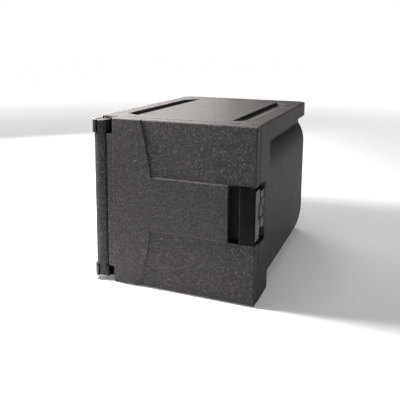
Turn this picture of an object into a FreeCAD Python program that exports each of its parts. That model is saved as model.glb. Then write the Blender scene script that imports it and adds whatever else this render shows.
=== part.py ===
"""Front-loading insulated food carrier for full-size gastronorm pans.

Millimetres, +Z up. The origin is the centre of the underside, and -Y is the front, where the door is.
The door hangs on the left and swings about a vertical axis. A corner latch on its right edge hooks behind
a keeper in the carcass.
"""

import FreeCAD, Part
import math
import os

V = FreeCAD.Vector

# Overall size
WIDTH = 440.0
DEPTH = 620.0
HEIGHT = 450.0
SIDE = WIDTH / 2
FRONT = -DEPTH / 2
REAR = DEPTH / 2

# Door slab, counted back from the front face
DOOR_THICK = 36.0
DOOR_GAP = 1.5
DOOR_BACK = FRONT + DOOR_THICK
BODY_FRONT = DOOR_BACK + DOOR_GAP
DOOR_FLOOR_GAP = 2.0
DOOR_LEFT = -171.0
HINGE_STRIP = 8.0
EDGE_ROUND = 4.0
TOP_ROUND = 3.0
GAP_ROUND = 3.0

# Raised field and band on the door's face. Each slant is an arc that runs on past the door's edge
PANEL_STEP = 4.0
BAND_LOW = 157.0
BAND_HIGH = 303.0
UPPER_SLANT = ((-88.5, HEIGHT + 10), (-69.5, 376.0), (-56.5, BAND_HIGH))
LOWER_SLANT = ((-59.5, BAND_LOW), (-71.5, 85.0), (-99.5, DOOR_FLOOR_GAP - 10))
STEP_SLOPE = 3.0
FIELD_PROUD = 0.2

# Carcass: a full-size frame behind the door, a flange along the top, and a prism with pulled-in sides
FRAME_DEPTH = 92.0
FLANGE_UNDER = 407.0
GRIP_DEPTH = 25.0
GRIP_STRAIGHT = 378.0
GRIP_START = 308.0
BASE_CURVE_START = 118.0
BASE_HALF = 195.0
REAR_ROUND = 30.0

# Cavity, which takes 530 x 325 mm pans on moulded runners
CAVITY_HALF = 168.0
CAVITY_LOW = 46.0
CAVITY_HIGH = 400.0
CAVITY_REAR = REAR - 41.0
CAVITY_ROUND = 14.0
RUNNER_COUNT = 5
RUNNER_REACH = 12.0
RUNNER_HEIGHT = 13.0
RUNNER_SLOPE = 5.0
RUNNER_CORNER = 5.0
RUNNER_FRONT = FRONT + 74.0

# Nesting grooves in the top
GROOVE_INNER = 133.0
GROOVE_OUTER = 176.0
GROOVE_DEPTH = 10.0
GROOVE_CORNER = 5.0
GROOVE_FRONT = (FRONT + 71.0, FRONT + 103.0)
GROOVE_REAR = (FRONT + 548.0, FRONT + 492.0)

# Door plug and seal
PLUG_HALF = 162.0
PLUG_DEPTH = 14.0
PLUG_TAPER = 3.0
PLUG_LOW = 52.0
PLUG_HIGH = 394.0
PLUG_CORNER = 6.0
SEAL_INSET = 2.0
SEAL_ROUND = 1.0
SEAL_WIDTH = 8.0
SEAL_SEAT = 4.5
SEAL_PROUD = 1.2

# Hinge: one vertical axis. The door's barrel ends in two journals, each held in an open clip on the carcass
AXIS_X = -210.5
AXIS_Y = FRONT + 17.0
BARREL_R = 19.5
JOURNAL_R = 18.6
JOURNAL_SHORT = 1.5
CLIP_R = 24.2
CLIP_BORE_R = 19.0
CLIP_ROUND = 1.5
CLIP_SLOT = (-10.0, 45.0)  # degrees from the front towards the right
CLIP_TOP = (408.0, 443.5)
CLIP_BOTTOM = (11.5, 43.0)
CLIP_ARM_RIGHT = -194.0
BARREL_Z = (44.5, 406.5)
BARREL_GROOVE = (-195.0, -188.0)
BARREL_GROOVE_DEPTH = 12.0
LEAF_X = (-SIDE, -173.0)
LEAF_THICK = 5.0
HINGE_SCREW_X = -180.0
HINGE_SCREW_SPREAD = 8.0
HINGE_ANCHOR_DEPTH = 18.0

# Latch on the door's right edge
LATCH_LEFT = 150.0
LATCH_Z = (BAND_LOW, BAND_HIGH)
LATCH_DEPTH = 24.0
RUNNING_GAP = 0.05
TRAY_RIGHT = 175.0
TRAY_FLOOR = 13.0
TRAY_WALL = 3.0
TRAY_RIM = 2.0
TRAY_ROUND = 4.0
LATCH_ANCHOR_DEPTH = 7.0
BACKPLATE = 5.0
LATCH_CHANNEL = 206.0
PIVOT_X = 186.0
PIVOT_Y = FRONT + 8.0
PIVOT_R = 5.0
LATCH_PIN_R = 2.0
EAR_COUNT = 3
EAR_HEIGHT = 14.0
LEVER_LEFT = 180.0
LEVER_THICK = 4.0
LEVER_SIDE_THICK = 5.0
LEVER_REAR = FRONT + 39.0
LEVER_CORNER = 5.0
LEVER_EDGE_ROUND = 1.8
LEVER_LEG_Z = (168.0, 292.0)
LEVER_NOTCH = (215.0, 255.0)
LEVER_NOTCH_DEPTH = 12.0
LEVER_NOTCH_ROUND = 2.0
LEVER_RIM = 5.0
LEVER_GROOVE = (3.0, 1.5)
LEVER_FIT = 1.5
HOOK_Z = ((172.0, 202.0), (260.0, 288.0))
HOOK_X = (208.5, 214.0)
HOOK_TIP_X = 203.0
HOOK_REAR = FRONT + 58.0
ARM_FRONT = FRONT + 28.0
LIP_TOP = 207.5
LIP_FRONT = FRONT + 44.0
LIP_REAR = FRONT + 56.0
LIP_MARGIN = 3.0
LIP_RADIUS = 47.1
HOOK_RADIUS = 47.7

# Latch pocket in the carcass, its keeper, and the teeth moulded at its rear
POCKET_FLOOR = 196.0
POCKET_REAR = FRONT + 91.0
POCKET_Z = (150.0, 303.0)
KEEPER_Z = (156.0, 297.0)
KEEPER_Y = (BODY_FRONT + 1.0, FRONT + 62.0)
KEEPER_THICK = 4.0
KEEPER_ROUND = 1.0
KEEPER_ANCHOR_DEPTH = 12.0
KEEPER_SCREW_SPREAD = 18.0
TEETH_FRONT = FRONT + 64.0
TEETH = ((261.0, 280.0, 216.5), (243.5, 259.5, 218.3), (212.0, 242.0, 214.0), (187.0, 210.5, 216.8))
TEETH_ROUND = 1.5

# Screws, all M5 countersunk
SCREW_R = 2.5
SCREW_HEAD_R = 4.6
SCREW_LENGTH = 17.0
SOCKET_R = 1.7
SOCKET_DEPTH = 1.4
LATCH_SCREW_X = 198.0
LATCH_SCREW_PITCH = 34.0


def box(x0, x1, y0, y1, z0, z1):
    return Part.makeBox(x1 - x0, y1 - y0, z1 - z0, V(x0, y0, z0))


def upright(x, y, radius, z0, z1):
    """A vertical cylinder."""
    return Part.makeCylinder(radius, z1 - z0, V(x, y, z0))


def fuse(shapes):
    return shapes[0].multiFuse(shapes[1:]).removeSplitter()


def cut(shape, tools):
    return shape.cut(tools).removeSplitter()


def mirrored(shape):
    """The same shape on the other side of the middle plane."""
    return shape.mirror(V(0, 0, 0), V(1, 0, 0))


def round_edges(shape, radius, wanted):
    """Rounds the edges whose middle point passes a test."""
    edges = []
    for edge in shape.Edges:
        middle = edge.valueAt((edge.FirstParameter + edge.LastParameter) / 2)
        if wanted(middle, edge):
            edges.append(edge)
    return shape.makeFillet(radius, edges)


def prism(edges, direction):
    """A solid swept straight from a closed outline."""
    return Part.Face(Part.Wire(edges)).extrude(direction)


def polyline(points):
    """Straight edges through a list of points."""
    return [Part.LineSegment(a, b).toShape() for a, b in zip(points, points[1:])]


def arc(a, b, c):
    return Part.Arc(a, b, c).toShape()


def rounded_block(x0, x1, y0, y1, z0, z1, radius):
    """A block whose four edges along Y are rounded."""
    block = box(x0, x1, y0, y1, z0, z1)
    return round_edges(block, radius, lambda p, e: y0 < p.y < y1)


def vertical(edge):
    a, b = edge.Vertexes[0].Point, edge.Vertexes[-1].Point
    return abs(a.x - b.x) < 1e-6 and abs(a.y - b.y) < 1e-6 and abs(a.z - b.z) > 1.0


# ---------------------------------------------------------------- carcass


def tangent_arc(tangent, end):
    """An arc that leaves the vertical flank smoothly at one point and ends at the other."""
    across, up = tangent.x - end.x, end.z - tangent.z
    radius = (across ** 2 + up ** 2) / (2 * across)
    turn = math.asin(abs(up) / radius) / 2
    rise = math.copysign(radius * math.sin(turn), up)
    middle = V(tangent.x - radius * (1 - math.cos(turn)), 0, tangent.z + rise)
    return arc(tangent, middle, end)


def side_profile():
    """Half of the prism's section at y = 0: base, curved foot, flat flank, and the grip below the flange."""
    foot_end, foot_start = V(BASE_HALF, 0, 0), V(SIDE, 0, BASE_CURVE_START)
    grip_start, grip_end = V(SIDE, 0, GRIP_START), V(SIDE - GRIP_DEPTH, 0, GRIP_STRAIGHT)
    top = V(grip_end.x, 0, FLANGE_UNDER + 5.0)
    flank = polyline([foot_start, grip_start])
    closing = polyline([grip_end, top, V(0, 0, top.z), V(0, 0, 0), foot_end])
    return [tangent_arc(foot_start, foot_end)] + flank + [tangent_arc(grip_start, grip_end)] + closing


def carcass_outside():
    """The carcass before anything is hollowed out of it."""
    frame_rear = BODY_FRONT + FRAME_DEPTH
    frame = box(-SIDE, SIDE, BODY_FRONT, frame_rear, 0, HEIGHT)
    overlap = 10.0
    section = [e.translate(V(0, frame_rear - overlap, 0)) for e in side_profile()]
    half = prism(section, V(0, REAR - frame_rear + overlap, 0))
    flange = box(-SIDE, SIDE, BODY_FRONT, REAR, FLANGE_UNDER, HEIGHT)
    plan = box(-SIDE, SIDE, BODY_FRONT, REAR, 0, HEIGHT)
    plan = round_edges(plan, REAR_ROUND, lambda p, e: abs(p.y - REAR) < 1e-3 and vertical(e))
    outside = fuse([frame, half, mirrored(half), flange]).common(plan).removeSplitter()
    front = BODY_FRONT + 1e-3
    outside = round_edges(outside, GAP_ROUND, lambda p, e: p.y < front and p.x > 0 and vertical(e))
    return round_edges(outside, TOP_ROUND, lambda p, e: abs(p.z - HEIGHT) < 1e-3)


def top_groove():
    """A nesting groove on the right: a long trapezium in plan."""
    floor = HEIGHT - GROOVE_DEPTH
    corners = [
        V(GROOVE_INNER, GROOVE_FRONT[0], floor),
        V(GROOVE_OUTER, GROOVE_FRONT[1], floor),
        V(GROOVE_OUTER, GROOVE_REAR[1], floor),
        V(GROOVE_INNER, GROOVE_REAR[0], floor),
    ]
    groove = prism(polyline(corners + corners[:1]), V(0, 0, GROOVE_DEPTH + 5))
    return round_edges(groove, GROOVE_CORNER, lambda p, e: vertical(e))


def runner_levels():
    """The lower side of each pan runner, evenly spaced up the cavity."""
    pitch = (CAVITY_HIGH - CAVITY_LOW) / (RUNNER_COUNT + 1)
    return [CAVITY_LOW + pitch * (n + 1) - RUNNER_HEIGHT for n in range(RUNNER_COUNT)]


def runner(low):
    """One runner on the right wall, with a sloped underside that the mould can leave."""
    tip, wall = CAVITY_HALF - RUNNER_REACH, CAVITY_HALF + 2
    section = [
        V(tip, RUNNER_FRONT, low + RUNNER_SLOPE),
        V(wall, RUNNER_FRONT, low),
        V(wall, RUNNER_FRONT, low + RUNNER_HEIGHT),
        V(tip, RUNNER_FRONT, low + RUNNER_HEIGHT),
    ]
    bar = prism(polyline(section + section[:1]), V(0, CAVITY_REAR + 2 - RUNNER_FRONT, 0))
    return round_edges(bar, RUNNER_CORNER, lambda p, e: p.y < RUNNER_FRONT + 1e-3 and p.x < tip + 1e-3)


def teeth():
    """The castellated blocks at the rear of the latch pocket."""
    made = []
    for low, high, reach in TEETH:
        block = box(POCKET_FLOOR - 2, reach, TEETH_FRONT, POCKET_REAR + 2, low, high)
        rounded = round_edges(block, TEETH_ROUND, lambda p, e: p.x > reach - 4 and p.y < TEETH_FRONT + 1e-3)
        made.append(rounded)
    return made


def carcass_shell():
    cavity = rounded_block(
        -CAVITY_HALF, CAVITY_HALF, BODY_FRONT - 5, CAVITY_REAR, CAVITY_LOW, CAVITY_HIGH, CAVITY_ROUND
    )
    pocket = box(POCKET_FLOOR, SIDE + 5, BODY_FRONT - 5, POCKET_REAR, *POCKET_Z)
    grooves = [top_groove(), mirrored(top_groove())]
    body = cut(carcass_outside(), [cavity, pocket] + grooves)
    runners = [runner(low) for low in runner_levels()]
    body = fuse([body] + runners + [mirrored(r) for r in runners] + teeth())
    inserts = [leaf_block(z) for z in (CLIP_TOP, CLIP_BOTTOM)]
    inserts += [hinge_anchor_block(z) for z in (CLIP_TOP, CLIP_BOTTOM)]
    inserts += [keeper_anchor_block()]
    return cut(body, inserts)


# ---------------------------------------------------------------- hinge


def leaf_block(z):
    """The plate of a hinge bracket, let into the carcass's front."""
    return box(*LEAF_X, BODY_FRONT, BODY_FRONT + LEAF_THICK, *z)


def hinge_anchor_block(z):
    """A threaded plastic block moulded into the foam behind a bracket."""
    y0 = BODY_FRONT + LEAF_THICK
    return box(LEAF_X[0] + 3, LEAF_X[1] - 1, y0, y0 + HINGE_ANCHOR_DEPTH, z[0] + 4, z[1] - 4)


def screw(position, direction):
    """A countersunk screw, from its head's flat face inward."""
    head = Part.makeCone(SCREW_HEAD_R, SCREW_R, SCREW_HEAD_R - SCREW_R, position, direction)
    shank = Part.makeCylinder(SCREW_R, SCREW_LENGTH, position, direction)
    return head.fuse(shank).removeSplitter()


def with_drive(position, direction):
    """The screw with a hexagon socket in its head."""
    turn = FreeCAD.Rotation(V(0, 0, 1), direction)
    angles = [n * math.pi / 3 for n in range(6)]
    points = [V(SOCKET_R * math.cos(a), SOCKET_R * math.sin(a), 0) for a in angles]
    points = [position + turn.multVec(p) for p in points]
    socket = prism(polyline(points + points[:1]), direction * SOCKET_DEPTH)
    return screw(position, direction).cut(socket)


def hinge_screw_places(z):
    middle = sum(z) / 2
    return [V(HINGE_SCREW_X, BODY_FRONT, middle + side * HINGE_SCREW_SPREAD) for side in (-1, 1)]


def hinge_bracket(z):
    """A clip on an arm that stands out of the leaf. It is open in front, where the journal shows."""
    clip = upright(AXIS_X, AXIS_Y, CLIP_R, *z)
    clip = round_edges(clip, CLIP_ROUND, lambda p, e: p.z < z[0] + 0.1 or p.z > z[1] - 0.1)
    arm = box(LEAF_X[0], CLIP_ARM_RIGHT, AXIS_Y, BODY_FRONT + 1, z[0] + 2, z[1] - 2)
    bore = upright(AXIS_X, AXIS_Y, CLIP_BORE_R, z[0] - 1, z[1] + 1)
    axis, reach = V(AXIS_X, AXIS_Y, z[0] - 1), 2 * CLIP_R
    turns = [math.radians(angle) for angle in CLIP_SLOT]
    lips = [axis + V(math.sin(turn), -math.cos(turn), 0) * reach for turn in turns]
    slot = prism(polyline([axis] + lips + [axis]), V(0, 0, z[1] - z[0] + 2))
    holes = [screw(p, V(0, 1, 0)) for p in hinge_screw_places(z)]
    return cut(fuse([clip, arm, leaf_block(z)]), [bore, slot] + holes)


def hinge_screws(z):
    return Part.makeCompound([with_drive(p, V(0, 1, 0)) for p in hinge_screw_places(z)])


def hinge_anchor(z):
    return cut(hinge_anchor_block(z), [screw(p, V(0, 1, 0)) for p in hinge_screw_places(z)])


# ---------------------------------------------------------------- door


def raised_face():
    """The left field and the band, which stand proud of the rest of the door."""
    past, depth = 10.0, DOOR_THICK / 2
    upper = [V(x, FRONT, z) for x, z in UPPER_SLANT]
    lower = [V(x, FRONT, z) for x, z in LOWER_SLANT]
    band_end = [lower[0], V(SIDE + past, FRONT, BAND_LOW), V(SIDE + past, FRONT, BAND_HIGH), upper[2]]
    far = DOOR_LEFT - past
    left = [upper[0], V(far, FRONT, upper[0].z), V(far, FRONT, lower[2].z), lower[2]]
    edges = polyline(band_end) + [arc(upper[2], upper[1], upper[0])] + polyline(left)
    edges.append(arc(lower[2], lower[1], lower[0]))
    face = prism(edges, V(0, depth, 0))
    face = face.makeChamfer(STEP_SLOPE, [e for e in face.Edges if e.BoundBox.YMax < FRONT + 1e-3])
    cover = box(DOOR_LEFT, SIDE, FRONT, FRONT + depth, DOOR_FLOOR_GAP, HEIGHT)
    return face.common(round_edges(cover, EDGE_ROUND, lambda p, e: p.y < FRONT + 1e-3))


def seal_ring(y0, y1):
    """A rounded rectangular ring round the plug."""
    inner, low, high = PLUG_HALF + SEAL_INSET, PLUG_LOW - SEAL_INSET, PLUG_HIGH + SEAL_INSET
    outer, wide = inner + SEAL_WIDTH, SEAL_WIDTH
    ring = rounded_block(-outer, outer, y0, y1, low - wide, high + wide, CAVITY_ROUND + wide)
    hole = rounded_block(-inner, inner, y0 - 1, y1 + 1, low, high, CAVITY_ROUND)
    return ring.cut(hole)


def door_plug():
    """The tapered block that closes the cavity's mouth."""
    wires = []
    for inset, y in ((0.0, DOOR_BACK - 1), (PLUG_TAPER, DOOR_BACK + PLUG_DEPTH)):
        half, low, high = PLUG_HALF - inset, PLUG_LOW + inset, PLUG_HIGH - inset
        corners = [V(-half, y, low), V(half, y, low), V(half, y, high), V(-half, y, high)]
        wires.append(Part.makePolygon(corners + corners[:1]))
    plug = Part.makeLoft(wires, True, True)
    return round_edges(plug, PLUG_CORNER, lambda p, e: p.y > DOOR_BACK + 2)


def latch_pocket():
    """The space in the door for the latch: shallow on the left, right through at the edge."""
    shallow = box(LATCH_LEFT, SIDE + 5, FRONT - 5, FRONT + LATCH_DEPTH, *LATCH_Z)
    through = box(LATCH_CHANNEL, SIDE + 5, FRONT - 5, DOOR_BACK + 5, *LATCH_Z)
    return [shallow, through]


def door_slab():
    low, high = DOOR_FLOOR_GAP + FIELD_PROUD, HEIGHT - FIELD_PROUD
    slab = box(DOOR_LEFT, SIDE, FRONT + PANEL_STEP, DOOR_BACK, low, high)
    slab = round_edges(slab, EDGE_ROUND, lambda p, e: abs(p.y - FRONT - PANEL_STEP) < 1e-3)
    slab = round_edges(slab, GAP_ROUND, lambda p, e: abs(p.y - DOOR_BACK) < 1e-3)
    groove_floor = FRONT + BARREL_GROOVE_DEPTH
    edge_strip = box(BARREL_GROOVE[1], DOOR_LEFT + HINGE_STRIP, FRONT + 1, DOOR_BACK, *BARREL_Z)
    edge_strip = round_edges(edge_strip, EDGE_ROUND, lambda p, e: p.y < FRONT + 2 and p.x < DOOR_LEFT - 10)
    web = box(AXIS_X, BARREL_GROOVE[1] + 1, groove_floor, DOOR_BACK, *BARREL_Z)
    barrel = upright(AXIS_X, AXIS_Y, BARREL_R, *BARREL_Z)
    journal = upright(AXIS_X, AXIS_Y, JOURNAL_R, CLIP_BOTTOM[0] + JOURNAL_SHORT, CLIP_TOP[1] - JOURNAL_SHORT)
    journal = round_edges(journal, CLIP_ROUND, lambda p, e: not vertical(e))
    slab = fuse([slab, raised_face(), edge_strip, web, barrel, journal, door_plug()])
    seat = seal_ring(DOOR_BACK - SEAL_SEAT, DOOR_BACK + 1)
    return cut(slab, [seat, latch_anchor_block()] + latch_pocket())


def door_gasket():
    ring = seal_ring(DOOR_BACK - SEAL_SEAT, DOOR_BACK + SEAL_PROUD)
    return round_edges(ring, SEAL_ROUND, lambda p, e: abs(p.y - DOOR_BACK - SEAL_PROUD) < 1e-3)


# ---------------------------------------------------------------- latch


def latch_anchor_block():
    """A threaded plastic plate moulded into the door behind the latch."""
    y0 = FRONT + LATCH_DEPTH
    low, high = LATCH_Z[0] + 10, LATCH_Z[1] - 10
    return box(LATCH_LEFT + 6, LATCH_CHANNEL - 3, y0, y0 + LATCH_ANCHOR_DEPTH, low, high)


def latch_screw_places():
    """Four in a column behind the lever, which uncovers them when it swings out."""
    middle, back = sum(LATCH_Z) / 2, FRONT + LATCH_DEPTH - BACKPLATE
    return [V(LATCH_SCREW_X, back, middle + LATCH_SCREW_PITCH * step) for step in (-1.5, -0.5, 0.5, 1.5)]


def latch_screw(position, make):
    """A latch screw ends inside the anchor."""
    whole = make(position, V(0, 1, 0))
    return whole.common(box(0, SIDE, FRONT, FRONT + LATCH_DEPTH + LATCH_ANCHOR_DEPTH - 1, 0, HEIGHT))


def ear_levels(gap):
    """The height ranges of the base's ears, each wider by gap."""
    low, high = LATCH_Z[0] + 0.5, LATCH_Z[1] - 0.5
    step = (high - low - EAR_HEIGHT) / (EAR_COUNT - 1)
    return [(low + n * step - gap, low + n * step + EAR_HEIGHT + gap) for n in range(EAR_COUNT)]


def latch_base():
    low, high = LATCH_Z[0] + 0.4, LATCH_Z[1] - 0.4
    left, back, rim, wall = LATCH_LEFT + 0.4, FRONT + LATCH_DEPTH, FRONT + TRAY_RIM, TRAY_WALL
    tray = box(left, TRAY_RIGHT, rim, back, low, high)
    dish = box(left + wall, TRAY_RIGHT + 5, rim - 1, FRONT + TRAY_FLOOR, low + wall, high - wall)
    dish_left = left + wall + 0.1
    dish = round_edges(dish, TRAY_ROUND, lambda p, e: p.x < dish_left and (vertical(e) or p.y > rim + 1))
    plate = box(TRAY_RIGHT - 1, LATCH_CHANNEL - 1, back - BACKPLATE, back, low, high)
    ears = []
    for z0, z1 in ear_levels(0.0):
        ears.append(upright(PIVOT_X, PIVOT_Y, PIVOT_R, z0, z1))
        ears.append(box(PIVOT_X - 2, PIVOT_X + PIVOT_R, PIVOT_Y, back - 1, z0, z1))
    pin_hole = upright(PIVOT_X, PIVOT_Y, LATCH_PIN_R, LATCH_Z[0], LATCH_Z[1])
    screws = [latch_screw(p, screw) for p in latch_screw_places()]
    return cut(fuse([tray.cut(dish), plate] + ears), [pin_hole] + screws)


def latch_anchor():
    return cut(latch_anchor_block(), [latch_screw(p, screw) for p in latch_screw_places()])


def latch_base_screws():
    return Part.makeCompound([latch_screw(p, with_drive) for p in latch_screw_places()])


def latch_pin():
    return upright(PIVOT_X, PIVOT_Y, LATCH_PIN_R, LATCH_Z[0] + 1.0, LATCH_Z[1] - 1.0)


def arc_wedge(radius, x0, x1, y1, z0, z1):
    """A block whose front is part of a cylinder about the lever's pivot."""
    block = box(x0, x1, PIVOT_Y, y1, z0, z1)
    return block.cut(upright(PIVOT_X, PIVOT_Y, radius, z0 - 1, z1 + 1))


def latch_lever():
    """A plate on the door's face that turns the corner into a shorter side leg with two hooks behind it."""
    low, high = LATCH_Z[0] + LEVER_FIT, LATCH_Z[1] - LEVER_FIT
    side = SIDE - 0.3
    inner_side, front = side - LEVER_SIDE_THICK, FRONT + 0.2
    outer = box(LEVER_LEFT, side, front, LEVER_REAR, low, high)
    outer = round_edges(outer, LEVER_CORNER, lambda p, e: p.x > side - 1 and p.y < front + 1 and vertical(e))
    outer = round_edges(outer, LEVER_EDGE_ROUND, lambda p, e: p.x < LEVER_LEFT + 1 and p.y < front + 0.1)
    inner = box(LEVER_LEFT - 1, inner_side, FRONT + LEVER_THICK, LEVER_REAR + 1, low - 1, high + 1)
    shell = outer.cut(inner)
    leg_low, leg_high = LEVER_LEG_Z
    ends = [box(LEVER_LEFT - 1, side + 1, FRONT + LEVER_THICK, LEVER_REAR + 1, low - 1, leg_low)]
    ends.append(box(LEVER_LEFT - 1, side + 1, FRONT + LEVER_THICK, LEVER_REAR + 1, leg_high, high + 1))
    notch_front = LEVER_REAR - LEVER_NOTCH_DEPTH
    notch = box(inner_side - 1, side + 1, notch_front, LEVER_REAR + 1, *LEVER_NOTCH)
    notch = round_edges(notch, LEVER_NOTCH_ROUND, lambda p, e: p.y < notch_front + 1)
    parts = [cut(shell, ends + [notch, leg_groove(side)])]
    ears = ear_levels(0.6)
    for (_, z0), (z1, _) in zip(ears, ears[1:]):
        parts.append(upright(PIVOT_X, PIVOT_Y, PIVOT_R, z0, z1))
    for z0, z1 in HOOK_Z:
        parts.append(box(HOOK_X[0], HOOK_X[1], ARM_FRONT, HOOK_REAR, z0, z1))
        parts.append(box(HOOK_X[0], side - 1, ARM_FRONT, LEVER_REAR - 3, z0, z1))
        parts.append(arc_wedge(HOOK_RADIUS, HOOK_TIP_X, HOOK_X[1], HOOK_REAR, z0, z1))
    bore = upright(PIVOT_X, PIVOT_Y, LATCH_PIN_R + RUNNING_GAP, 0, HEIGHT)
    return cut(fuse(parts), [bore] + ear_reliefs(ears))


def leg_groove(side):
    """A groove in the side leg that sets off a rim along its front, top and bottom."""
    width, depth = LEVER_GROOVE
    low, high = LEVER_LEG_Z
    blocks = []
    for inset in (LEVER_RIM, LEVER_RIM + width):
        front = FRONT + LEVER_CORNER + inset
        blocks.append(box(side - depth, side + 1, front, LEVER_REAR + 2 + inset, low + inset, high - inset))
    return blocks[0].cut(blocks[1])


def ear_reliefs(ears):
    """Room in the lever's plate for the base's ears."""
    return [upright(PIVOT_X, PIVOT_Y, PIVOT_R + 0.5, z0, z1) for z0, z1 in ears]


# ---------------------------------------------------------------- keeper


def keeper_anchor_block():
    """A threaded plastic plate moulded into the foam behind the keeper."""
    back = POCKET_FLOOR - KEEPER_ANCHOR_DEPTH
    return box(back, POCKET_FLOOR, KEEPER_Y[0] + 2, KEEPER_Y[1] - 1, KEEPER_Z[0] + 8, KEEPER_Z[1] - 8)


def keeper_screw_places():
    middle, y = sum(KEEPER_Z) / 2, sum(KEEPER_Y) / 2
    return [V(POCKET_FLOOR + KEEPER_THICK, y, middle + s * KEEPER_SCREW_SPREAD) for s in (-1, 1)]


def keeper_screw(position, make):
    """A keeper screw ends inside its anchor."""
    whole = make(position, V(-1, 0, 0))
    return whole.common(box(POCKET_FLOOR - KEEPER_ANCHOR_DEPTH + 1, SIDE, FRONT, REAR, 0, HEIGHT))


def latch_keeper():
    """A plate with a lip for each hook. The lips' rear faces curve about the lever's pivot."""
    plate = box(POCKET_FLOOR, POCKET_FLOOR + KEEPER_THICK, *KEEPER_Y, *KEEPER_Z)
    parts = [round_edges(plate, KEEPER_ROUND, lambda p, e: p.x > POCKET_FLOOR + KEEPER_THICK - 0.1)]
    for z0, z1 in HOOK_Z:
        lip = box(POCKET_FLOOR + 1, LIP_TOP, LIP_FRONT, LIP_REAR, z0 - LIP_MARGIN, z1 + LIP_MARGIN)
        parts.append(lip.common(upright(PIVOT_X, PIVOT_Y, LIP_RADIUS, z0 - 5, z1 + 5)))
    return cut(fuse(parts), [keeper_screw(p, screw) for p in keeper_screw_places()])


def keeper_anchor():
    return cut(keeper_anchor_block(), [keeper_screw(p, screw) for p in keeper_screw_places()])


def keeper_screws():
    return Part.makeCompound([keeper_screw(p, with_drive) for p in keeper_screw_places()])


NODES = {
    "carcass_shell": carcass_shell(),
    "door_slab": door_slab(),
    "door_gasket": door_gasket(),
    "hinge_bracket_top": hinge_bracket(CLIP_TOP),
    "hinge_bracket_bottom": hinge_bracket(CLIP_BOTTOM),
    "hinge_screws_top": hinge_screws(CLIP_TOP),
    "hinge_screws_bottom": hinge_screws(CLIP_BOTTOM),
    "hinge_anchor_top": hinge_anchor(CLIP_TOP),
    "hinge_anchor_bottom": hinge_anchor(CLIP_BOTTOM),
    "latch_base": latch_base(),
    "latch_base_screws": latch_base_screws(),
    "latch_anchor": latch_anchor(),
    "latch_lever": latch_lever(),
    "latch_pin": latch_pin(),
    "latch_keeper": latch_keeper(),
    "keeper_screws": keeper_screws(),
    "keeper_anchor": keeper_anchor(),
}

os.makedirs("parts", exist_ok=True)
for name, shape in NODES.items():
    shape.exportStep(f"parts/{name}.step")
    solids = shape.Solids
    sound = all(s.isValid() for s in solids)
    print(f"{name}: {len(solids)} solid(s), {sum(s.Volume for s in solids) / 1000:.1f} cm3, valid {sound}")
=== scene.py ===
import math
from collections import namedtuple

import bpy
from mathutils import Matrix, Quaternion, Vector


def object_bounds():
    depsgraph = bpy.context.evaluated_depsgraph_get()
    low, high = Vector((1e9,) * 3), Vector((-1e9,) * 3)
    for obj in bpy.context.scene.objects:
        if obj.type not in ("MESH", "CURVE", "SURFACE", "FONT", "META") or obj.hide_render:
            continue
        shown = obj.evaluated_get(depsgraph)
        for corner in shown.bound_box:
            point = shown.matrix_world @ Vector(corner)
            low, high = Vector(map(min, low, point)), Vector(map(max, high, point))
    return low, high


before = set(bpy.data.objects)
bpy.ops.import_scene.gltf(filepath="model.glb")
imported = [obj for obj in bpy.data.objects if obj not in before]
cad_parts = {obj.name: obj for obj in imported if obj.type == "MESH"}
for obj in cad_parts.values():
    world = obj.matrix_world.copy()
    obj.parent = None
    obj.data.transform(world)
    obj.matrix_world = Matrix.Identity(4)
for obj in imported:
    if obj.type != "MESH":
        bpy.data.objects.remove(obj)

# The looks of an insulated food carrier: moulded bead foam for the carcass and door, black plastic for
# the hinge and latch. Every shape is the CAD's own. This script adds materials with worn, rounded-looking
# rims (on the foam partly a painted highlight), zones of painted highlight and painted reflection, a
# floor, lights and the camera. Lengths are metres and colours are linear.

CAD_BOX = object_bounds()

# Camera: where it stands, where it looks in degrees, and its lens. The shift keeps the horizon above
# the carrier.
CAMERA_PLACE = (0.541, -1.4875, 0.6397)
CAMERA_AZIMUTH = 21.53
CAMERA_ELEVATION = 8.57
CAMERA_ROLL = 0.48
CAMERA_LENS = 47.56
CAMERA_SENSOR = 36.0
CAMERA_SHIFT = -0.190

# Bead foam: the size of a bead, how far a rim of wear and painted highlight reaches, and the soft border of a
# zone with a painted paler tint
BEAD = 0.0028
FOAM_RIM = 0.0022
TINT_ZONE_BORDER = 0.003
FOAM_DARK = (0.011, 0.0100, 0.0096)
FOAM_MID = (0.061, 0.0557, 0.0538)
FOAM_PALE = (0.185, 0.1690, 0.1620)
FOAM_SEAM = tuple(0.4 * channel for channel in FOAM_DARK)

# Plastic, rubber and metal: how far a worn rim reaches, and the soft border of a zone with a painted
# highlight
PLASTIC_RIM = 0.0010
HIGHLIGHT_BORDER = 0.0004
RUBBER_RIM = 0.0008
METAL_RIM = 0.0004

# Lights: an azimuth is in degrees from the front towards the right, a power in watts
Light = namedtuple("Light", "azimuth elevation distance width height power")
LIGHTS = {
    "key": Light(-62.0, 51.0, 1.05, 0.32, 0.32, 44.0),
    "overhead": Light(0.0, 82.0, 1.6, 1.0, 1.0, 10.0),
    "rear_card": Light(-137.0, 18.0, 2.2, 2.0, 0.9, 29.0),
    "right_side": Light(108.0, 35.0, 2.2, 1.2, 1.2, 1.0),
}
LIGHT_COLOUR = (1.0, 0.975, 0.96)
WHITE = (1.0, 1.0, 1.0)
AMBIENT = 0.06

# Floor: it glows a little, from the first strength near the carrier to the second far from it
FLOOR_GLOW = (0.18, 0.94)
FLOOR_GLOW_REACH = (0.6, 4.5)
FLOOR_TINTS = ((0.86, 0.86, 0.86), (0.90, 0.90, 0.90))
FLOOR_HALF = 30.0
FLOOR_LEVEL = -0.0004


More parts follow.
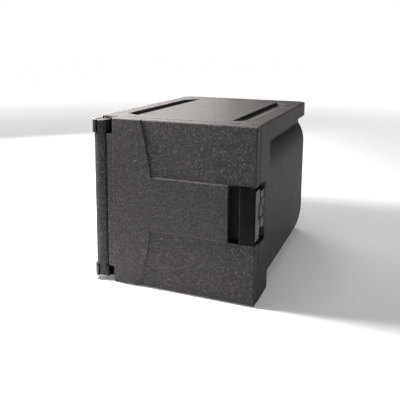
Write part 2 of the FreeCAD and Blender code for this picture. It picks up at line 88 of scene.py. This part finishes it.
class Shader:
    """A material and the short calls that build its node tree."""

    def __init__(self, name):
        self.material = bpy.data.materials.new(name)
        self.material.use_nodes = True
        self.tree = self.material.node_tree
        self.tree.nodes.clear()
        self.output = self.tree.nodes.new("ShaderNodeOutputMaterial")
        self.place = self.node("ShaderNodeTexCoord").outputs["Object"]

    def node(self, kind, inputs=None, **settings):
        """A node with its settings, and its inputs either linked or set."""
        made = self.tree.nodes.new(kind)
        for key, value in settings.items():
            setattr(made, key, value)
        for key, value in (inputs or {}).items():
            self.feed(made.inputs[key], value)
        return made

    def feed(self, socket, value):
        if isinstance(value, bpy.types.NodeSocket):
            self.tree.links.new(value, socket)
        elif socket.type == "RGBA" and len(value) == 3:
            socket.default_value = (*value, 1.0)
        else:
            socket.default_value = value

    def math(self, operation, a, b=0.0, clamp=False):
        return self.node("ShaderNodeMath", {0: a, 1: b}, operation=operation, use_clamp=clamp).outputs[0]

    def span(self, value, low, high, to_low=0.0, to_high=1.0):
        """value's range low..high stretched to another range, and clamped to it."""
        inputs = {"Value": value, "From Min": low, "From Max": high, "To Min": to_low, "To Max": to_high}
        return self.node("ShaderNodeMapRange", inputs, clamp=True).outputs["Result"]

    def mix(self, share, a, b):
        """Colour a where share is 0 and b where it is 1."""
        made = self.tree.nodes.new("ShaderNodeMix")
        made.data_type = "RGBA"
        self.feed(made.inputs["Factor"], share)
        self.feed(made.inputs["A"], a)
        self.feed(made.inputs["B"], b)
        return made.outputs["Result"]

    def stretched(self, scale):
        """The object's own coordinates, scaled differently along each axis."""
        return self.node("ShaderNodeMapping", {"Vector": self.place, "Scale": scale}).outputs["Vector"]

    def noise(self, scale, detail=2.0, roughness=0.5, place=None):
        inputs = {"Vector": place or self.place, "Scale": scale, "Detail": detail, "Roughness": roughness}
        return self.node("ShaderNodeTexNoise", inputs).outputs["Fac"]

    def zone(self, low, high, soft):
        """1 inside a box of the object's own coordinates, fading to 0 over a soft border."""
        axes = self.node("ShaderNodeSeparateXYZ", {"Vector": self.place}).outputs
        inside = 1.0
        for axis, start, end in zip(axes, low, high):
            rising = self.span(axis, start, start + soft)
            falling = self.span(axis, end - soft, end, 1.0, 0.0)
            inside = self.math("MULTIPLY", inside, self.math("MULTIPLY", rising, falling))
        return inside

    def cells(self, size, feature):
        """Irregular cells: each cell's own colour, and the distance to its middle (F1) or to its edge."""
        inputs = {"Vector": self.place, "Scale": 1.0 / size, "Randomness": 0.95}
        return self.node("ShaderNodeTexVoronoi", inputs, feature=feature).outputs

    def edges(self, radius):
        """1 on rims and corners that stand out or turn in, 0 on flat places, and the softened normal."""
        soft = self.node("ShaderNodeBevel", {"Radius": radius}, samples=4).outputs["Normal"]
        flat = self.node("ShaderNodeNewGeometry").outputs["Normal"]
        turn = self.node("ShaderNodeVectorMath", {0: soft, 1: flat}, operation="DOT_PRODUCT").outputs["Value"]
        return self.span(turn, 0.97, 0.80), soft

    def bump(self, height, distance, strength, normal=None):
        inputs = {"Height": height, "Distance": distance, "Strength": strength}
        if normal is not None:
            inputs["Normal"] = normal
        return self.node("ShaderNodeBump", inputs).outputs["Normal"]

    def finish(self, colour, roughness, normal, **constants):
        """The finished material; a constant's name is its socket's name with underscores."""
        inputs = {"Base Color": colour, "Roughness": roughness, "Normal": normal}
        inputs.update({key.replace("_", " "): value for key, value in constants.items()})
        surface = self.node("ShaderNodeBsdfPrincipled", inputs)
        self.tree.links.new(surface.outputs["BSDF"], self.output.inputs["Surface"])
        return self.material


def foam(name, zones=()):
    """Expanded bead foam: fused beads, each with its own tone and some of them pale, with dark seams.

    A zone is a box where the skin is glossier and painted a paler tint of its own, which stands in for light
    it catches.
    """
    s = Shader(name)
    beads = s.cells(BEAD, "F1")
    seam = s.span(s.cells(BEAD, "DISTANCE_TO_EDGE")["Distance"], 0.0, 0.10, 1.0, 0.0)
    channels = s.node("ShaderNodeSeparateColor", {"Color": beads["Color"]})
    tone, spark = channels.outputs["Red"], channels.outputs["Green"]
    blotch = s.noise(9.0, 4.0, 0.6)
    grain = s.noise(700.0, 2.0, 0.6)
    shade = s.math("ADD", s.math("MULTIPLY", tone, 0.80), s.math("MULTIPLY", blotch, 0.40), clamp=True)
    colour = s.mix(s.span(shade, 0.10, 1.0), FOAM_DARK, FOAM_MID)
    colour = s.mix(s.span(spark, 0.88, 0.99, 0.0, 0.60), colour, FOAM_PALE)
    colour = s.mix(s.math("MULTIPLY", seam, 0.6), colour, FOAM_SEAM)
    colour = s.mix(s.span(grain, 0.58, 0.80, 0.0, 0.35), colour, FOAM_PALE)

    rim, soft = s.edges(FOAM_RIM)
    # The foam's paler rims are partly wear and partly a painted highlight along its edges and corners.
    wear_and_painted_highlight = s.math("MULTIPLY", rim, s.span(s.noise(60.0, 4.0, 0.65), 0.35, 0.70, 0.15, 0.65))
    colour = s.mix(wear_and_painted_highlight, colour, FOAM_PALE)
    marks = s.noise(26.0, 5.0, 0.7, s.stretched((0.35, 0.35, 2.2)))
    colour = s.mix(s.span(marks, 0.66, 0.80, 0.0, 0.22), colour, FOAM_PALE)

    rough = s.math("ADD", s.math("MULTIPLY", spark, 0.5), s.math("MULTIPLY", grain, 0.5))
    roughness = s.span(rough, 0.2, 0.8, 0.46, 0.66)
    # Each zone's paler tint is painted light: a painted reflection on the groove floors and a painted
    # highlight in the latch pocket. Its lower roughness is a real glossier skin.
    for zone in zones:
        rub_and_painted_tint = s.zone(zone.low, zone.high, TINT_ZONE_BORDER)
        colour = s.mix(s.math("MULTIPLY", rub_and_painted_tint, s.span(blotch, 0.3, 0.7, 0.75, 0.95)), colour, zone.tint)
        roughness = s.math("SUBTRACT", roughness, s.math("MULTIPLY", rub_and_painted_tint, zone.sheen))

    dome = s.span(beads["Distance"], 0.0, 0.75, 1.0, 0.0)
    swell = s.math("ADD", dome, s.math("MULTIPLY", tone, 0.5))
    height = s.math("SUBTRACT", swell, s.math("MULTIPLY", seam, 0.8))
    normal = s.bump(height, 0.00045, 0.7, soft)
    normal = s.bump(grain, 0.00012, 0.35, normal)
    return s.finish(colour, roughness, normal, Specular_IOR_Level=0.25)


def plastic(name, base, pale, rough, specular=0.5, zones=()):
    """Injection-moulded plastic with a fine spark-eroded grain, handling scuffs and worn rims.

    A zone is a box painted with a highlight, with its own tints for the flats and for the rims.
    """
    s = Shader(name)
    rim, soft = s.edges(PLASTIC_RIM)
    patches = s.noise(14.0, 4.0, 0.6)
    scuffs = s.noise(120.0, 6.0, 0.75, s.stretched((0.25, 1.0, 3.0)))
    scuff = s.span(scuffs, 0.62, 0.74)
    grain = s.noise(2600.0, 1.0)
    faded = tuple(0.6 * dark + 0.4 * light for dark, light in zip(base, pale))
    colour = s.mix(s.span(patches, 0.3, 0.7, 0.0, 0.35), base, faded)
    colour = s.mix(s.math("MULTIPLY", scuff, 0.22), colour, pale)
    colour = s.mix(s.math("MULTIPLY", rim, s.span(patches, 0.35, 0.65, 0.10, 0.45)), colour, pale)
    patchy = s.span(patches, 0.25, 0.75, rough - 0.05, rough + 0.07)
    roughness = s.math("ADD", patchy, s.math("MULTIPLY", scuff, 0.16))
    # Each zone is a painted highlight: pale tints on its flats and rims stand in for the light they catch,
    # and the zone is also rougher.
    for zone in zones:
        inside = s.zone(zone.low, zone.high, HIGHLIGHT_BORDER)
        highlight_zone = s.math("MULTIPLY", inside, s.span(patches, 0.3, 0.7, 0.75, 1.0))
        colour = s.mix(highlight_zone, colour, s.mix(rim, zone.flat_tint, zone.rim_tint))
        roughness = s.math("ADD", roughness, s.math("MULTIPLY", highlight_zone, 0.15))
    normal = s.bump(grain, 0.00005, 0.5, soft)
    return s.finish(colour, roughness, normal, Specular_IOR_Level=specular)


def rubber(name):
    """Extruded black seal rubber with a dusty bloom and faint draw lines."""
    s = Shader(name)
    rim, soft = s.edges(RUBBER_RIM)
    lines = s.noise(500.0, 3.0, 0.6, s.stretched((1.0, 6.0, 1.0)))
    bloom = s.noise(40.0, 4.0, 0.6)
    colour = s.mix(s.span(bloom, 0.35, 0.75, 0.0, 0.6), (0.012, 0.012, 0.0125), (0.034, 0.033, 0.032))
    colour = s.mix(s.math("MULTIPLY", rim, 0.35), colour, (0.055, 0.053, 0.051))
    roughness = s.span(bloom, 0.3, 0.7, 0.62, 0.80)
    return s.finish(colour, roughness, s.bump(lines, 0.00008, 0.5, soft), Specular_IOR_Level=0.35)


def metal(name, base, dull, rough, stretch):
    """Turned metal with fine tool marks, stretched along the turning, patchy oxide and brighter rims."""
    s = Shader(name)
    rim, soft = s.edges(METAL_RIM)
    lines = s.noise(1500.0, 3.0, 0.6, s.stretched(stretch))
    oxide = s.noise(160.0, 4.0, 0.65)
    colour = s.mix(s.span(oxide, 0.40, 0.72, 0.0, 0.8), base, dull)
    bright = tuple(min(1.0, 1.7 * channel) for channel in base)
    colour = s.mix(s.math("MULTIPLY", rim, 0.5), colour, bright)
    roughness = s.math("ADD", s.span(oxide, 0.3, 0.7, rough, rough + 0.18), s.math("MULTIPLY", lines, 0.10))
    return s.finish(colour, roughness, s.bump(lines, 0.00004, 0.5, soft), Metallic=1.0)


RubAndPaintedTint = namedtuple("RubAndPaintedTint", "low high tint sheen")
PaintedHighlight = namedtuple("PaintedHighlight", "low high flat_tint rim_tint")


def groove_rub_and_painted_reflection(side):
    """The nesting groove's floor on one side (1 right, -1 left): its skin glossier where the carriers stacked
    on top rub it, with a paler tint painted on it as a painted reflection.
    """
    low_x, high_x = sorted((side * 0.138, side * 0.178))
    return RubAndPaintedTint((low_x, -0.200, 0.437), (high_x, 0.180, 0.4415), (0.115, 0.108, 0.103), 0.20)


# A painted highlight at the bottom of the latch pocket: a paler tint standing in for the light its teeth
# catch, on slightly glossier skin
POCKET_PAINTED_HIGHLIGHT = RubAndPaintedTint((0.194, -0.2475, 0.178), (0.2205, -0.217, 0.282), (0.23, 0.22, 0.215), 0.05)

# Painted highlights on the latch lever: pale tints standing in for the light caught by its side leg and by
# the left edge of its front plate
LEVER_LEG_HIGHLIGHT = PaintedHighlight(
    (0.2150, -0.3060, 0.160), (0.2300, -0.2500, 0.300), (0.17, 0.17, 0.175), (0.75, 0.75, 0.77)
)
LEVER_LEFT_EDGE_HIGHLIGHT = PaintedHighlight(
    (0.1790, -0.3200, 0.160), (0.1808, -0.3000, 0.300), (0.14, 0.14, 0.145), (0.20, 0.20, 0.205)
)

CARCASS_FOAM = foam("carcass_bead_foam", (groove_rub_and_painted_reflection(1), groove_rub_and_painted_reflection(-1), POCKET_PAINTED_HIGHLIGHT))
DOOR_FOAM = foam("door_bead_foam")
HINGE_PLASTIC = plastic("hinge_black_plastic", (0.0030, 0.0030, 0.0032), (0.050, 0.050, 0.052), 0.22, 0.30)
LATCH_PLASTIC = plastic(
    "latch_gloss_plastic",
    (0.0020, 0.0020, 0.0022),
    (0.060, 0.060, 0.062),
    0.22,
    0.05,
    (LEVER_LEG_HIGHLIGHT, LEVER_LEFT_EDGE_HIGHLIGHT),
)
BASE_PLASTIC = plastic("latch_tray_plastic", (0.0060, 0.0049, 0.0040), (0.036, 0.032, 0.028), 0.55, 0.06)
INSERT_PLASTIC = plastic("insert_plastic", (0.020, 0.020, 0.021), (0.090, 0.090, 0.092), 0.55)
RUBBER = rubber("seal_rubber")
STEEL = metal("pin_steel", (0.52, 0.53, 0.55), (0.33, 0.33, 0.34), 0.26, (1.0, 1.0, 12.0))
SCREW_STEEL = metal("black_screw_steel", (0.060, 0.060, 0.064), (0.030, 0.028, 0.027), 0.36, (4.0, 4.0, 4.0))

FINISHES = {
    "carcass_shell": CARCASS_FOAM,
    "door_slab": DOOR_FOAM,
    "door_gasket": RUBBER,
    "hinge_bracket_top": HINGE_PLASTIC,
    "hinge_bracket_bottom": HINGE_PLASTIC,
    "hinge_screws_top": SCREW_STEEL,
    "hinge_screws_bottom": SCREW_STEEL,
    "hinge_anchor_top": INSERT_PLASTIC,
    "hinge_anchor_bottom": INSERT_PLASTIC,
    "latch_base": BASE_PLASTIC,
    "latch_base_screws": SCREW_STEEL,
    "latch_anchor": INSERT_PLASTIC,
    "latch_lever": LATCH_PLASTIC,
    "latch_pin": STEEL,
    "latch_keeper": BASE_PLASTIC,
    "keeper_screws": SCREW_STEEL,
    "keeper_anchor": INSERT_PLASTIC,
}


def dress(node, material):
    """Puts a finish on a CAD node."""
    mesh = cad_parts[node].data
    mesh.materials.clear()
    mesh.materials.append(material)
    for face in mesh.polygons:
        face.material_index = 0


for node, material in FINISHES.items():
    dress(node, material)


# ---------------------------------------------------------------- floor, light and camera


def floor():
    """A pale floor that fades to white away from the carrier."""
    s = Shader("pale_floor")
    distance = s.node("ShaderNodeVectorMath", {0: s.place}, operation="LENGTH").outputs["Value"]
    mottle = s.noise(3.0, 3.0)
    colour = s.mix(mottle, *FLOOR_TINTS)
    strength = s.span(distance, *FLOOR_GLOW_REACH, *FLOOR_GLOW)
    glow = s.node("ShaderNodeEmission", {"Color": WHITE, "Strength": strength})
    matt = s.node("ShaderNodeBsdfDiffuse", {"Color": colour})
    both = s.node("ShaderNodeAddShader", {0: glow.outputs[0], 1: matt.outputs[0]})
    s.tree.links.new(both.outputs[0], s.output.inputs["Surface"])
    corners = [(x * FLOOR_HALF, y * FLOOR_HALF, FLOOR_LEVEL) for x, y in ((-1, -1), (1, -1), (1, 1), (-1, 1))]
    mesh = bpy.data.meshes.new("studio_floor")
    mesh.from_pydata(corners, [], [(0, 1, 2, 3)])
    mesh.materials.append(s.material)
    ground = bpy.data.objects.new("studio_floor", mesh)
    bpy.context.scene.collection.objects.link(ground)


def toward(azimuth, elevation):
    """The direction at an azimuth from the front towards the right and an elevation, both in degrees."""
    across, up = math.radians(azimuth), math.radians(elevation)
    return Vector((math.sin(across) * math.cos(up), -math.cos(across) * math.cos(up), math.sin(up)))


def softbox(name, setting):
    """A rectangular light, aimed at the carrier's middle, that the camera can't see itself."""
    middle = (CAD_BOX[0] + CAD_BOX[1]) / 2
    outward = toward(setting.azimuth, setting.elevation)
    light = bpy.data.lights.new(name, "AREA")
    light.shape = "RECTANGLE"
    light.size, light.size_y, light.energy = setting.width, setting.height, setting.power
    light.color = LIGHT_COLOUR
    holder = bpy.data.objects.new(name, light)
    holder.location = middle + setting.distance * outward
    holder.rotation_euler = (-outward).to_track_quat("-Z", "Y").to_euler()
    holder.visible_camera = False
    bpy.context.scene.collection.objects.link(holder)


def studio():
    """The lights, and a backdrop that is white behind the carrier but lights it only faintly."""
    for name, setting in LIGHTS.items():
        softbox(name, setting)
    world = bpy.data.worlds.new("studio")
    world.use_nodes = True
    tree = world.node_tree
    tree.nodes.clear()
    seen = tree.nodes.new("ShaderNodeLightPath")
    strength = tree.nodes.new("ShaderNodeMapRange")
    strength.inputs["To Min"].default_value = AMBIENT
    strength.inputs["To Max"].default_value = 1.0
    backdrop = tree.nodes.new("ShaderNodeBackground")
    output = tree.nodes.new("ShaderNodeOutputWorld")
    tree.links.new(seen.outputs["Is Camera Ray"], strength.inputs["Value"])
    tree.links.new(strength.outputs["Result"], backdrop.inputs["Strength"])
    tree.links.new(backdrop.outputs["Background"], output.inputs["Surface"])
    backdrop.inputs["Color"].default_value = (*WHITE, 1.0)
    bpy.context.scene.world = world
    bpy.context.scene.view_settings.view_transform = "Standard"


def camera():
    """The camera at the front right, looking slightly down at the carrier."""
    forward = -toward(CAMERA_AZIMUTH, CAMERA_ELEVATION)
    data = bpy.data.cameras.new("camera")
    data.lens = CAMERA_LENS
    data.sensor_width = CAMERA_SENSOR
    data.shift_y = CAMERA_SHIFT
    holder = bpy.data.objects.new("camera", data)
    holder.location = CAMERA_PLACE
    roll = Quaternion((0.0, 0.0, 1.0), math.radians(CAMERA_ROLL))
    holder.rotation_euler = (forward.to_track_quat("-Z", "Y") @ roll).to_euler()
    bpy.context.scene.collection.objects.link(holder)
    bpy.context.scene.camera = holder


floor()
studio()
camera()
